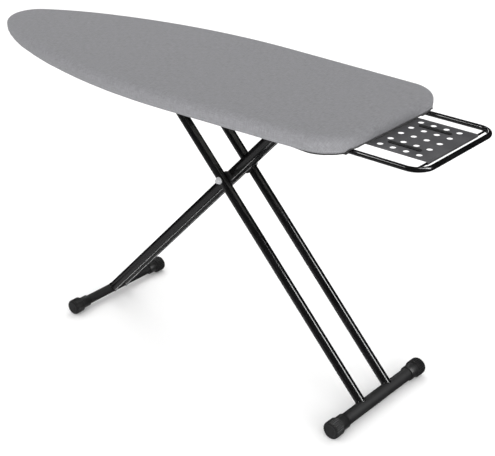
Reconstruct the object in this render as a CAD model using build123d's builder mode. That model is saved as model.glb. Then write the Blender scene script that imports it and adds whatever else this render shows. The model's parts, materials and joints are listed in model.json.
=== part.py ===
"""Folding ironing board: padded top, scissor legs, height lever and a sliding iron rest.

X runs along the board towards its square end, Z is up and the floor is z = 0.  The origin is
on the floor, halfway between the nose and the iron rest's front bar.  Sizes are millimetres.
"""
from build123d import *
import os
from math import atan2, cos, degrees, radians, sin, sqrt, tan

# ---- overall sizes -------------------------------------------------------------------------
board_length = 1245.0          # nose to square end, over the cover
board_half_width = 233.5       # at the widest station
widest_from_nose = 720.0       # tip of the nose to the widest station
side_taper = 2.1               # degrees that each side closes in towards the square end
tip_radius = 82.0              # plan of the nose: three arcs, tip, flank and shoulder
flank_radius = 780.0
shoulder_radius = 1600.0
corner_radius = 88.0           # corners of the square end
board_height = 758.0           # floor to the top of the cover, at the set height
tray_reach = 174.0             # front bar of the iron rest past the square end

# ---- padded top ----------------------------------------------------------------------------
cover_thickness = 1.6
cover_depth = 38.0             # top of the cover down to its hem
cover_edge_radius = 12.0
end_hem_lift = 6.0             # the hem is lifted over the iron rest
end_hem_half_width = 168.0
pad_gap = 0.3
deck_thickness = 0.8
pad_thickness = 8.3
pad_edge_radius = 6.3
rim_inset = 5.0                # edge of the cover to the outside of the steel rim
rim_wall = 1.2
rim_height = 25.0
rim_notch = 6.0                # the end's lower edge is cut up over the iron rest
rim_flange = 8.0
vent_radius = 5.0
vent_pitch = 46.0
vent_margin = 34.0

# ---- legs ----------------------------------------------------------------------------------
pin_drop = 60.0                # top of the cover down to the hinge and crossbar line
hinge_from_end = 262.5         # square end back to the inner leg's hinge
inner_foot_from_hinge = 638.0  # run from the hinge to the inner foot
upper_arm = 280.0              # hinge or crossbar to the scissor pivot
leg_radius = 12.5
leg_wall = 1.2
inner_spread = 21.5            # centre line to each inner tube
outer_spread = 54.0            # centre line to each outer tube
tube_tail = 14.0               # outer tube past its crossbar
plug_head = 3.0
plug_head_round = 2.0
plug_length = 8.0
inner_bar_radius = 12.5
outer_bar_radius = 16.0
inner_bar_half = 175.5         # to the face of the foot cap
outer_bar_half = 188.5
inner_cap_radius = 20.5
outer_cap_radius = 22.5
cap_head = 28.0
cap_collar = 24.0
cap_collar_wall = 3.0
cap_step = 4.0
cap_step_in = 3.5              # the step's radius, in from the head's
cap_edge_radius = 3.5
cap_rib_from_end = 5.0
cap_end_wall = 4.0
cap_ribs = 24
rib_depth = 1.1

# ---- hinges and pivot ----------------------------------------------------------------------
pin_radius = 4.0
running_gap = 0.06
side_gap = 0.3                 # between pieces that turn against each other
cross_tube_radius = 11.0
cross_tube_wall = 2.0
bush_length = 12.0
bracket_thickness = 2.5
bracket_half = 14.0
bracket_drop = 10.0
bracket_round = 8.0
bracket_foot = 14.0            # weld flange along the underside of its brace
pin_head_past = 2.0            # rivet head past its pin's radius
pin_head_thickness = 2.0
pin_head_round = 1.2
spacer_radius = 14.5
spacer_round = 1.0
block_length = 62.0
block_height = 20.0
block_groove_past = 30.0       # the tubes' grooves are cut this far past each end
washer_radius = 9.0
washer_thickness = 1.6
nut_radius = 7.5
nut_height = 6.0               # threaded depth
nut_dome = 4.1                 # domed end past the thread
nut_round = 3.7

# ---- slide rails and braces ----------------------------------------------------------------
crossbar_radius = 6.0
crossbar_chamfer = 1.0
roller_radius = 8.0
roller_width = 12.0
roller_chamfer = 0.8
rail_sheet = 2.0
rail_clearance = 0.3
rail_from_tube = 1.7
rail_width = 16.0
rail_slot_gap = 0.5
crossbar_past_rail = 10.0
rail_margin = 46.0             # rail past the roller's travel at each end
brace_sheet = 1.2
brace_width = 28.0
brace_flange = 10.0
hinge_brace_clearance = 3.0
hinge_brace_half = 130.0
rail_brace_half = 150.0         # short of the skirt, so the braces stay out of sight

# ---- fold and lever ------------------------------------------------------------------------
folded_angle = 4.2             # leg angle left when folded, so the pivot clears the rails
raised_angle = 62.0            # leg angle at the top height
strip_thickness = 3.0
strip_from_rail = 2.8
strip_depth = 17.0
strip_nose = 22.0              # strip past the folded crossbar
strip_round = 5.0
strip_past_pin = 12.0
strip_tail_rise = 3.0          # the tail's lower edge, up from the strip's
strip_tail_over_rod = 8.0
strip_past_rod = 9.0
notch_radius = 6.8
notch_rise = 1.5
raise_notches = 3
fold_notches = 4
lever_pin_radius = 3.0
lever_pin_inset = 12.0         # rail's end back to the lever's pin
lever_pin_drop = 1.5           # underside of the roller's run down to the pin
lever_bracket_half = 9.0
lever_bracket_drop = 8.0
lever_bracket_round = 6.0
lever_rod_radius = 4.0
lever_reach = 205.0            # centre line to the grip
lever_rod_from_pin = 35.0
lever_rod_rise = 7.0
lever_rod_bend = 14.0
grip_length = 78.0
grip_radius = 8.0
grip_start = 18.0              # rod's centre line to the grip's near end
grip_end_wall = 2.0
grip_round = 3.0
spring_radius = 5.0
spring_wire = 0.6
spring_turns = 7
spring_y = 122.0               # out along the lever's rod

# ---- iron rest -----------------------------------------------------------------------------
tray_half = 148.0
tray_tube = 6.0
tray_wall = 1.0
tray_corner = 40.0
tray_drop = 41.0               # top of the cover down to the tray's centre line
tray_rod = 2.5
tray_rod_back = 20.5           # front bar back to the front rod
rear_rod_inside = 38.0         # square end back to the rear rod
tray_tail = 202.0              # square end back to the rails' inner ends
plate_half = 100.0
plate_sheet = 1.5
plate_hole = 7.2
hole_pitch_x = 33.0
hole_pitch_y = 40.0
hole_columns = 4
hole_rows = 5
hole_front = 31.5              # front rod back to the first column
strip_half_length = 42.0
strip_half_width = 5.0
strip_height = 2.4
strip_y = 60.0
rest_strip_round = 1.0
guide_gap = 0.3
guide_length = 14.0
guide_half = 9.0
guide_round = 4.0
front_guide_inside = 33.0
stop_length = 14.0
stop_radius = 9.0
stop_end_wall = 2.0
stop_round = 1.5

# ---- levels and stations worked out from the sizes above ------------------------------------
nose_x = -(board_length + tray_reach) / 2
end_x = nose_x + board_length
front_bar_x = end_x + tray_reach - tray_tube
hem_z = board_height - cover_depth
cover_inner_z = board_height - cover_thickness
pad_bottom_z = cover_inner_z - pad_gap - pad_thickness
deck_bottom_z = pad_bottom_z - deck_thickness
rim_bottom_z = deck_bottom_z - rim_height
pin_z = board_height - pin_drop
hinge_x = end_x - hinge_from_end
leg_angle = degrees(atan2(pin_z - inner_cap_radius, inner_foot_from_hinge))
inner_foot_x = hinge_x - inner_foot_from_hinge
inner_length = sqrt((pin_z - inner_cap_radius) ** 2 + inner_foot_from_hinge ** 2)
outer_length = (pin_z - outer_cap_radius) / sin(radians(leg_angle))


def crossbar_at(angle):
    """Station of the sliding crossbar when the legs stand at this angle."""
    return hinge_x - 2 * upper_arm * cos(radians(angle))


crossbar_x = crossbar_at(leg_angle)
outer_foot_x = crossbar_x + outer_length * cos(radians(leg_angle))
pivot_x = hinge_x - upper_arm * cos(radians(leg_angle))
pivot_z = pin_z - upper_arm * sin(radians(leg_angle))
inner_face = inner_spread + leg_radius
outer_face = outer_spread + leg_radius
rail_inner_y = outer_face + rail_from_tube
rail_outer_y = rail_inner_y + rail_width
rail_half_height = roller_radius + rail_clearance
rail_top_z = pin_z + rail_half_height + rail_sheet
rail_start_x = crossbar_at(folded_angle) - rail_margin
rail_end_x = crossbar_at(raised_angle) + rail_margin
tray_z = board_height - tray_drop
front_rod_x = front_bar_x - tray_rod_back
rear_rod_x = end_x - rear_rod_inside
tray_tail_x = end_x - tray_tail
plate_top_z = tray_z + tray_rod + plate_sheet

os.makedirs("parts", exist_ok=True)
SIDES = (("near", -1), ("far", 1))


def save(builder, name):
    """Name a finished piece and write it to its own file."""
    builder.part.label = name
    export_step(builder.part, f"parts/{name}.step")


# ---- helpers: each draws inside the sub-part that is open ------------------------------------
def circle_meeting(first, first_radius, second, second_radius):
    """Where two circles cross, on the side towards the board's far end."""
    gap = second - first
    reach = (first_radius ** 2 - second_radius ** 2 + gap.length ** 2) / (2 * gap.length)
    rise = sqrt(first_radius ** 2 - reach ** 2)
    unit = gap.normalized()
    return first + unit * reach + Vector(-unit.Y, unit.X) * rise


def arc_between(center, radius, start_angle, end_angle):
    """An arc of the plan, turning clockwise from one angle to the next."""
    CenterArc(tuple(center)[:2], radius, start_angle, end_angle - start_angle)


def angle_of(vector):
    """Direction of a vector in the plan, in degrees from +X."""
    return degrees(atan2(vector.Y, vector.X))


def plan_arcs():
    """Centres, radii and end angles of the plan's arcs, from the nose to the square end."""
    tip = Vector(nose_x + tip_radius, 0)
    shoulder = Vector(nose_x + widest_from_nose, board_half_width - shoulder_radius)
    flank = circle_meeting(tip, flank_radius - tip_radius, shoulder, shoulder_radius - flank_radius)
    side_angle = 90 - side_taper
    tip_end = angle_of(tip - flank)
    flank_end = angle_of(flank - shoulder)
    side = Vector(cos(radians(side_angle)), sin(radians(side_angle)))
    corner_x = end_x - corner_radius
    side_reach = side.dot(shoulder) + shoulder_radius
    corner = Vector(corner_x, (side_reach - corner_radius - side.X * corner_x) / side.Y)
    return ((tip, tip_radius, 180, tip_end), (flank, flank_radius, tip_end, flank_end),
            (shoulder, shoulder_radius, flank_end, side_angle), (corner, corner_radius, side_angle, 0))


def plan_half_width(x):
    """Half the board's width at a station in front of the square end's corners."""
    arcs = plan_arcs()
    for center, radius, _, end in arcs[:3]:
        if x <= center.X + radius * cos(radians(end)):
            return center.Y + sqrt(radius ** 2 - (x - center.X) ** 2)
    shoulder, radius, _, end = arcs[2]
    past = x - shoulder.X - radius * cos(radians(end))
    return shoulder.Y + radius * sin(radians(end)) - past * tan(radians(side_taper))


def outline(inset=0.0):
    """The board's plan, drawn in the open sketch and drawn in by inset all round."""
    arcs = plan_arcs()
    shoulder, corner = arcs[2], arcs[3]
    side = Vector(cos(radians(corner[2])), sin(radians(corner[2])))
    with BuildLine() as edge:
        for center, radius, start, end in arcs:
            arc_between(center, radius - inset, start, end)
        Line(shoulder[0] + side * (shoulder[1] - inset), corner[0] + side * (corner[1] - inset))
        Line((end_x - inset, corner[0].Y), (end_x - inset, 0))
        mirror(about=Plane.XZ)
    make_face(edge.edges())


def slab(bottom, top, inset=0.0, mode=Mode.ADD):
    """A plate of the board's plan between two levels."""
    with BuildSketch(Plane.XY.offset(bottom)) as plan:
        outline(inset)
    extrude(plan.sketch, amount=top - bottom, mode=mode)


def across(radius, x, z, start, end, mode=Mode.ADD):
    """A round bar or hole that runs across the board, from y = start to y = end."""
    with BuildSketch(Plane(origin=(x, start, z), x_dir=(1, 0, 0), z_dir=(0, 1, 0))) as section:
        Circle(radius)
    extrude(section.sketch, amount=end - start, mode=mode)


def along(x, y, z, angle, length, radius, wall=0.0, mode=Mode.ADD):
    """A bar or tube in a plane of constant y, rising at angle from +X."""
    direction = (cos(radians(angle)), 0, sin(radians(angle)))
    with BuildSketch(Plane(origin=(x, y, z), x_dir=(0, 1, 0), z_dir=direction)) as section:
        Circle(radius)
        if wall:
            Circle(radius - wall, mode=Mode.SUBTRACT)
    extrude(section.sketch, amount=length, mode=mode)


def block(x0, x1, y0, y1, z0, z1, mode=Mode.ADD):
    """A square-edged block between three pairs of limits."""
    with BuildSketch(Plane.XY.offset(min(z0, z1))) as section:
        with Locations(((x0 + x1) / 2, (y0 + y1) / 2)):
            Rectangle(abs(x1 - x0), abs(y1 - y0))
    extrude(section.sketch, amount=abs(z1 - z0), mode=mode)


# ---- padded top ----------------------------------------------------------------------------
def make_cover():
    """Cloth cover: a top sheet and a skirt down to the hem, open underneath."""
    with BuildPart() as hollow:
        slab(hem_z, cover_inner_z, cover_thickness)
        fillet(hollow.faces().sort_by(Axis.Z)[-1].edges(), cover_edge_radius - cover_thickness)
    with BuildPart() as cover:
        slab(hem_z, board_height)
        fillet(cover.faces().sort_by(Axis.Z)[-1].edges(), cover_edge_radius)
        add(hollow.part, mode=Mode.SUBTRACT)
        block(end_x - corner_radius / 2, end_x + cover_thickness, -end_hem_half_width, end_hem_half_width,
              hem_z, hem_z + end_hem_lift, Mode.SUBTRACT)
    save(cover, "cover")


def make_felt_pad():
    with BuildPart() as felt_pad:
        slab(pad_bottom_z, pad_bottom_z + pad_thickness, rim_inset)
        fillet(felt_pad.faces().sort_by(Axis.Z)[-1].edges(), pad_edge_radius)
    save(felt_pad, "felt_pad")


def make_perforated_deck():
    """Punched steel sheet that lets the steam through, on the rim's top edge."""
    columns = int((board_length - 2 * vent_margin) / vent_pitch)
    rows = int(board_half_width / vent_pitch)
    vents = []
    for column in range(columns + 1):
        for row in range(-rows, rows + 1):
            x = nose_x + vent_margin + column * vent_pitch
            y = (row + (column % 2) / 2) * vent_pitch
            if abs(y) < plan_half_width(x) - vent_margin:
                vents.append((x, y))
    with BuildPart() as perforated_deck:
        with BuildSketch(Plane.XY.offset(deck_bottom_z)):
            outline(rim_inset)
            with Locations(vents):
                Circle(vent_radius, mode=Mode.SUBTRACT)
        extrude(amount=deck_thickness)
    save(perforated_deck, "perforated_deck")


def make_rim():
    with BuildPart() as rim:
        slab(rim_bottom_z, deck_bottom_z, rim_inset)
        slab(rim_bottom_z + rim_wall, deck_bottom_z, rim_inset + rim_wall, Mode.SUBTRACT)
        slab(rim_bottom_z, rim_bottom_z + rim_wall, rim_inset + rim_flange, Mode.SUBTRACT)
        block(end_x - 2 * rim_flange, end_x, -end_hem_half_width, end_hem_half_width,
              rim_bottom_z, rim_bottom_z + rim_notch, Mode.SUBTRACT)
    save(rim, "rim")


def make_brace(name, x, bottom, half_width):
    """Hat-section cross brace, open upwards, its flanges welded under the deck."""
    wall = brace_width / 2
    with BuildPart() as brace:
        block(x - wall, x + wall, -half_width, half_width, bottom, deck_bottom_z)
        block(x - wall + brace_sheet, x + wall - brace_sheet, -half_width, half_width,
              bottom + brace_sheet, deck_bottom_z, Mode.SUBTRACT)
        block(x - wall - brace_flange, x - wall, -half_width, half_width,
              deck_bottom_z - brace_sheet, deck_bottom_z)
        block(x + wall, x + wall + brace_flange, -half_width, half_width,
              deck_bottom_z - brace_sheet, deck_bottom_z)
        slab(bottom, deck_bottom_z, rim_inset + rim_flange + side_gap, Mode.INTERSECT)
    save(brace, name)


# ---- slide rails ---------------------------------------------------------------------------
def make_slide_rail(name, side):
    """Channel that carries a crossbar roller, slotted for the end of the crossbar."""
    bottom = pin_z - rail_half_height - rail_sheet
    inner, outer = side * rail_inner_y, side * rail_outer_y
    web = side * (rail_outer_y - rail_sheet)
    slot = crossbar_radius + rail_slot_gap
    with BuildPart() as rail:
        block(rail_start_x, rail_end_x, inner, outer, bottom, rail_top_z)
        block(rail_start_x, rail_end_x, inner, web, bottom + rail_sheet, rail_top_z - rail_sheet,
              Mode.SUBTRACT)
        middle = (crossbar_at(folded_angle) + crossbar_at(raised_angle)) / 2
        travel = crossbar_at(raised_angle) - crossbar_at(folded_angle)
        with BuildSketch(Plane(origin=(middle, min(web, outer), pin_z), x_dir=(1, 0, 0), z_dir=(0, 1, 0))):
            SlotCenterToCenter(travel, 2 * slot)
        extrude(amount=rail_sheet, mode=Mode.SUBTRACT)
    save(rail, name)


# ---- inner leg's hinge ---------------------------------------------------------------------
def make_hinge_bracket(name, side):
    """Angle bracket under the hinge brace: an ear for the pin and a flange for the weld."""
    top = pin_z + cross_tube_radius + hinge_brace_clearance
    inner = side * (inner_face + side_gap)
    outer = inner + side * bracket_thickness
    with BuildPart() as bracket:
        block(hinge_x - bracket_half, hinge_x + bracket_half, inner, outer, pin_z - bracket_drop, top)
        block(hinge_x - bracket_half, hinge_x + bracket_half, outer, outer + side * bracket_foot,
              top - bracket_thickness, top)
        low = bracket.edges().filter_by(Axis.Y).group_by(Axis.Z)[0]
        fillet(low, bracket_round)
        across(pin_radius, hinge_x, pin_z, min(inner, outer), max(inner, outer), Mode.SUBTRACT)
    save(bracket, name)


def make_hinge_pin():
    half = inner_face + side_gap + bracket_thickness
    with BuildPart() as pin:
        across(pin_radius, hinge_x, pin_z, -half, half)
        for side in (-1, 1):
            start, end = sorted((side * half, side * (half + pin_head_thickness)))
            across(pin_radius + pin_head_past, hinge_x, pin_z, start, end)
        fillet(pin.edges().group_by(Axis.Y)[0] + pin.edges().group_by(Axis.Y)[-1], pin_head_round)
    save(pin, "hinge_pin")


# ---- iron rest guides ----------------------------------------------------------------------
def make_tray_guide(name, side, x):
    """Moulded block under the deck that a rail of the iron rest slides through."""
    y = side * tray_half
    with BuildPart() as guide:
        block(x - guide_length / 2, x + guide_length / 2, y - guide_half, y + guide_half,
              tray_z - guide_half, deck_bottom_z)
        fillet(guide.edges().filter_by(Axis.X).group_by(Axis.Z)[0], guide_round)
        along(x - guide_length, y, tray_z, 0, 2 * guide_length, tray_tube + guide_gap, mode=Mode.SUBTRACT)
    save(guide, name)


# ---- height lever --------------------------------------------------------------------------
lever_pin_x = rail_end_x - lever_pin_inset
lever_pin_z = pin_z - rail_half_height - lever_pin_drop
strip_inner_y = rail_outer_y + strip_from_rail
strip_outer_y = strip_inner_y + strip_thickness
strip_top_z = pin_z - crossbar_radius - side_gap
lever_rod_x = lever_pin_x + lever_rod_from_pin
lever_rod_z = lever_pin_z + lever_rod_rise


def make_locking_strip():
    """Notched bar beside the far rail; its notches lie just under the crossbar."""
    notch_pitch = (crossbar_at(raised_angle) - crossbar_x) / raise_notches
    start = crossbar_at(folded_angle) - strip_nose
    strip_bottom_z = strip_top_z - strip_depth
    with BuildPart() as strip:
        block(start, lever_pin_x + strip_past_pin, strip_inner_y, strip_outer_y,
              strip_bottom_z, strip_top_z)
        block(lever_pin_x - strip_past_pin, lever_rod_x + strip_past_rod, strip_inner_y, strip_outer_y,
              strip_bottom_z + strip_tail_rise, lever_rod_z + strip_tail_over_rod)
        fillet(strip.edges().filter_by(Axis.Y).group_by(Axis.X)[0], strip_round)
        for step in range(-fold_notches, raise_notches + 1):
            x = crossbar_x + step * notch_pitch
            across(notch_radius, x, strip_top_z + notch_rise, strip_inner_y, strip_outer_y, Mode.SUBTRACT)
        across(lever_pin_radius + running_gap, lever_pin_x, lever_pin_z, strip_inner_y, strip_outer_y,
               Mode.SUBTRACT)
        across(lever_rod_radius, lever_rod_x, lever_rod_z, strip_inner_y, strip_outer_y, Mode.SUBTRACT)
    save(strip, "locking_strip")


def make_lever_rod():
    """Bent rod from the locking strip out to the grip."""
    with BuildPart() as rod:
        with BuildLine(Plane.XY.offset(lever_rod_z)):
            FilletPolyline((lever_rod_x, strip_inner_y), (lever_rod_x, lever_reach),
                           (lever_rod_x + grip_start + grip_length - grip_end_wall, lever_reach),
                           radius=lever_rod_bend)
        start = (lever_rod_x, strip_inner_y, lever_rod_z)
        with BuildSketch(Plane(origin=start, x_dir=(1, 0, 0), z_dir=(0, 1, 0))):
            Circle(lever_rod_radius)
        sweep()
    save(rod, "lever_rod")


def make_lever_grip():
    start = lever_rod_x + grip_start
    with BuildPart() as grip:
        along(start, lever_reach, lever_rod_z, 0, grip_length, grip_radius)
        fillet(grip.edges(), grip_round)
        along(start, lever_reach, lever_rod_z, 0, grip_length - grip_end_wall, lever_rod_radius,
              mode=Mode.SUBTRACT)
    save(grip, "lever_grip")


def make_lever_pin():
    end = strip_outer_y + strip_from_rail + bracket_thickness
    with BuildPart() as pin:
        across(lever_pin_radius, lever_pin_x, lever_pin_z, rail_outer_y, end)
        across(lever_pin_radius + pin_head_past, lever_pin_x, lever_pin_z, end, end + pin_head_thickness)
    save(pin, "lever_pin")


def make_lever_bracket():
    """Hanger that carries the outer end of the lever's pin, welded under the rear brace."""
    inner = strip_outer_y + strip_from_rail
    start, end = lever_pin_x - lever_bracket_half, lever_pin_x + lever_bracket_half
    with BuildPart() as bracket:
        block(start, end, inner, inner + bracket_thickness, lever_pin_z - lever_bracket_drop, rail_top_z)
        block(start, end, inner, inner + bracket_foot, rail_top_z - bracket_thickness, rail_top_z)
        fillet(bracket.edges().filter_by(Axis.Y).group_by(Axis.Z)[0], lever_bracket_round)
        across(lever_pin_radius, lever_pin_x, lever_pin_z, inner, inner + bracket_thickness, Mode.SUBTRACT)
    save(bracket, "lever_bracket")


def make_lever_spring():
    """Compression spring that pushes the lever's rod down from the deck."""
    bottom = lever_rod_z + lever_rod_radius + spring_wire
    height = deck_bottom_z - bottom - spring_wire
    with BuildPart() as spring:
        with BuildLine():
            coil = Helix(pitch=height / spring_turns, height=height, radius=spring_radius,
                         center=(lever_rod_x, spring_y, bottom))
        with BuildSketch(Plane(origin=coil @ 0, z_dir=coil % 0)):
            Circle(spring_wire)
        sweep(is_frenet=True)
    save(spring, "lever_spring")


# ---- iron rest -----------------------------------------------------------------------------
def tray_bend(radius, wall=0.0):
    """The iron rest's U-shaped run, as a solid bar or, with a wall, as a tube."""
    with BuildPart() as bend:
        with BuildLine(Plane.XY.offset(tray_z)):
            FilletPolyline((tray_tail_x, -tray_half), (front_bar_x, -tray_half),
                           (front_bar_x, tray_half), (tray_tail_x, tray_half), radius=tray_corner)
        with BuildSketch(Plane(origin=(tray_tail_x, -tray_half, tray_z), x_dir=(0, 1, 0), z_dir=(1, 0, 0))):
            Circle(radius)
            if wall:
                Circle(radius - wall, mode=Mode.SUBTRACT)
        sweep()
    return bend


def make_tray_frame():
    save(tray_bend(tray_tube, tray_wall), "tray_frame")


def make_tray_rod(name, x):
    """Cross rod, its ends coped to the side rails and welded there."""
    rails = tray_bend(tray_tube)
    with BuildPart() as rod:
        across(tray_rod, x, tray_z, -tray_half, tray_half)
        add(rails.part, mode=Mode.SUBTRACT)
    save(rod, name)


def make_rest_plate():
    """Perforated plate laid on the two rods, its ends rolled round them."""
    roll = tray_rod + plate_sheet
    with BuildPart() as plate:
        block(rear_rod_x, front_rod_x, -plate_half, plate_half, plate_top_z - plate_sheet, plate_top_z)
        for x in (rear_rod_x, front_rod_x):
            across(roll, x, tray_z, -plate_half, plate_half)
        block(rear_rod_x, front_rod_x, -plate_half, plate_half, tray_z - roll, plate_top_z - plate_sheet,
              Mode.SUBTRACT)
        for x in (rear_rod_x, front_rod_x):
            across(tray_rod, x, tray_z, -plate_half, plate_half, Mode.SUBTRACT)
        first = front_rod_x - hole_front
        with BuildSketch(Plane.XY.offset(plate_top_z - plate_sheet)):
            with Locations((first - hole_pitch_x * (hole_columns - 1) / 2, 0)):
                with GridLocations(hole_pitch_x, hole_pitch_y, hole_columns, hole_rows):
                    Circle(plate_hole)
        extrude(amount=plate_sheet, mode=Mode.SUBTRACT)
    save(plate, "rest_plate")


def make_rest_strip(name, side):
    """Silicone strip that the iron's sole stands on."""
    x = front_rod_x - hole_front - hole_pitch_x * (hole_columns - 1) / 2
    with BuildPart() as strip:
        with BuildSketch(Plane.XY.offset(plate_top_z)):
            with Locations((x, side * strip_y)):
                SlotOverall(2 * strip_half_length, 2 * strip_half_width)
        extrude(amount=strip_height)
        fillet(strip.faces().sort_by(Axis.Z)[-1].edges(), rest_strip_round)
    save(strip, name)


def make_rail_stop(name, side):
    """Plug on a rail's inner end, too wide to pass its guide."""
    y = side * tray_half
    with BuildPart() as stop:
        along(tray_tail_x - stop_end_wall, y, tray_z, 0, stop_length, stop_radius)
        fillet(stop.edges(), stop_round)
        along(tray_tail_x, y, tray_z, 0, stop_length, tray_tube, mode=Mode.SUBTRACT)
    save(stop, name)


# ---- legs ----------------------------------------------------------------------------------
def make_inner_tube(name, side):
    y = side * inner_spread
    with BuildPart() as tube:
        along(hinge_x, y, pin_z, 180 + leg_angle, inner_length, leg_radius, leg_wall)
        across(cross_tube_radius, hinge_x, pin_z, y - leg_radius, y + leg_radius, Mode.SUBTRACT)
        across(inner_bar_radius, inner_foot_x, inner_cap_radius, y - leg_radius, y + leg_radius,
               Mode.SUBTRACT)
        across(pin_radius, pivot_x, pivot_z, y - leg_radius, y + leg_radius, Mode.SUBTRACT)
    save(tube, name)


def make_outer_tube(name, side):
    y = side * outer_spread
    top_x = crossbar_x - tube_tail * cos(radians(leg_angle))
    top_z = pin_z + tube_tail * sin(radians(leg_angle))
    with BuildPart() as tube:
        along(top_x, y, top_z, -leg_angle, tube_tail + outer_length, leg_radius, leg_wall)
        across(crossbar_radius, crossbar_x, pin_z, y - leg_radius, y + leg_radius, Mode.SUBTRACT)
        across(outer_bar_radius, outer_foot_x, outer_cap_radius, y - leg_radius, y + leg_radius,
               Mode.SUBTRACT)
        across(pin_radius + running_gap, pivot_x, pivot_z, y - leg_radius, y + leg_radius, Mode.SUBTRACT)
    save(tube, name)


def make_tube_plug(name, side):
    """Plastic plug in the open top of an outer tube."""
    reach = tube_tail + plug_head
    x = crossbar_x - reach * cos(radians(leg_angle))
    z = pin_z + reach * sin(radians(leg_angle))
    with BuildPart() as plug:
        along(x, side * outer_spread, z, -leg_angle, plug_head, leg_radius)
        fillet(plug.edges().sort_by(Axis.Z)[-1], plug_head_round)
        along(x, side * outer_spread, z, -leg_angle, plug_length, leg_radius - leg_wall)
    save(plug, name)


def make_foot_bar(name, x, z, radius, half):
    with BuildPart() as bar:
        across(radius, x, z, cap_end_wall - half, half - cap_end_wall)
        across(radius - leg_wall, x, z, cap_end_wall - half, half - cap_end_wall, Mode.SUBTRACT)
    save(bar, name)


def make_foot_cap(name, side, x, bar_radius, radius, half):
    """Ribbed moulded foot: a collar on the bar, a step, then the wider head."""
    z = radius
    face = side * half
    head = side * (half - cap_head)
    step = side * (half - cap_head - cap_step)
    collar = side * (half - cap_head - cap_step - cap_collar)
    with BuildPart() as cap:
        across(bar_radius + cap_collar_wall, x, z, min(face, collar), max(face, collar))
        across(radius - cap_step_in, x, z, min(face, step), max(face, step))
        across(radius, x, z, min(face, head), max(face, head))
        outer_rim = cap.edges().filter_by(GeomType.CIRCLE).group_by(Axis.Y)[-1 if side > 0 else 0]
        fillet(outer_rim, cap_edge_radius)
        ribs_from = side * (half - cap_rib_from_end)
        with BuildSketch(Plane(origin=(x, ribs_from, z), x_dir=(1, 0, 0), z_dir=(0, -side, 0))):
            with PolarLocations(radius, cap_ribs, start_angle=90 + 180 / cap_ribs):
                Circle(rib_depth)
        extrude(amount=cap_head - cap_rib_from_end, mode=Mode.SUBTRACT)
        across(bar_radius, x, z, min(collar, side * (half - cap_end_wall)),
               max(collar, side * (half - cap_end_wall)), Mode.SUBTRACT)
    save(cap, name)


def make_cross_tube():
    with BuildPart() as tube:
        across(cross_tube_radius, hinge_x, pin_z, -inner_face, inner_face)
        across(cross_tube_radius - cross_tube_wall, hinge_x, pin_z, -inner_face, inner_face, Mode.SUBTRACT)
    save(tube, "hinge_cross_tube")


def make_hinge_bush(name, side):
    start, end = sorted((side * inner_face, side * (inner_face - bush_length)))
    with BuildPart() as bush:
        across(cross_tube_radius - cross_tube_wall, hinge_x, pin_z, start, end)
        across(pin_radius + running_gap, hinge_x, pin_z, start, end, Mode.SUBTRACT)
    save(bush, name)


# ---- scissor pivot -------------------------------------------------------------------------
def make_pivot_block():
    """Moulded block that keeps the two inner tubes apart at the pivot."""
    half = block_length / 2
    x = pivot_x - half * cos(radians(leg_angle))
    z = pivot_z - half * sin(radians(leg_angle))
    reach = half + block_groove_past
    groove_x = pivot_x - reach * cos(radians(leg_angle))
    groove_z = pivot_z - reach * sin(radians(leg_angle))
    with BuildPart() as block_part:
        with BuildSketch(Plane(origin=(x, 0, z), x_dir=(0, 1, 0),
                               z_dir=(cos(radians(leg_angle)), 0, sin(radians(leg_angle))))):
            Rectangle(2 * inner_spread, block_height)
        extrude(amount=block_length)
        for _, side in SIDES:
            along(groove_x, side * inner_spread, groove_z, leg_angle, 2 * reach, leg_radius,
                  mode=Mode.SUBTRACT)
        across(pin_radius, pivot_x, pivot_z, -inner_spread, inner_spread, Mode.SUBTRACT)
    save(block_part, "pivot_block")


def make_pivot_spacer(name, side):
    start, end = sorted((side * inner_face, side * (outer_spread - leg_radius - side_gap)))
    with BuildPart() as spacer:
        across(spacer_radius, pivot_x, pivot_z, start, end)
        fillet(spacer.edges(), spacer_round)
        across(pin_radius, pivot_x, pivot_z, start, end, Mode.SUBTRACT)
    save(spacer, name)


def make_pivot_bolt():
    reach = outer_face + side_gap + washer_thickness + nut_height
    with BuildPart() as bolt:
        across(pin_radius, pivot_x, pivot_z, -reach, reach)
    save(bolt, "pivot_bolt")


def make_pivot_washers():
    with BuildPart() as washers:
        for _, side in SIDES:
            inner = side * (outer_face + side_gap)
            start, end = sorted((inner, inner + side * washer_thickness))
            across(washer_radius, pivot_x, pivot_z, start, end)
            across(pin_radius, pivot_x, pivot_z, start, end, Mode.SUBTRACT)
    save(washers, "pivot_washers")


def make_pivot_nut(name, side):
    """Domed nut on an end of the pivot bolt."""
    base = side * (outer_face + side_gap + washer_thickness)
    rim_y = base + side * nut_height
    top = base + side * (nut_height + nut_dome)
    with BuildPart() as nut:
        across(nut_radius, pivot_x, pivot_z, min(base, top), max(base, top))
        dome = nut.edges().filter_by(GeomType.CIRCLE).group_by(Axis.Y)[-1 if side > 0 else 0]
        fillet(dome, nut_round)
        across(pin_radius, pivot_x, pivot_z, min(base, rim_y), max(base, rim_y), Mode.SUBTRACT)
    save(nut, name)


# ---- crossbar ------------------------------------------------------------------------------
def make_crossbar():
    reach = rail_outer_y + crossbar_past_rail
    with BuildPart() as crossbar:
        across(crossbar_radius, crossbar_x, pin_z, -reach, reach)
        chamfer(crossbar.edges().filter_by(GeomType.CIRCLE), crossbar_chamfer)
    save(crossbar, "crossbar")


def make_roller(name, side):
    start = side * (rail_inner_y + side_gap)
    start, end = sorted((start, start + side * roller_width))
    with BuildPart() as roller:
        across(roller_radius, crossbar_x, pin_z, start, end)
        chamfer(roller.edges().filter_by(GeomType.CIRCLE), roller_chamfer)
        across(crossbar_radius, crossbar_x, pin_z, start, end, Mode.SUBTRACT)
    save(roller, name)


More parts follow.
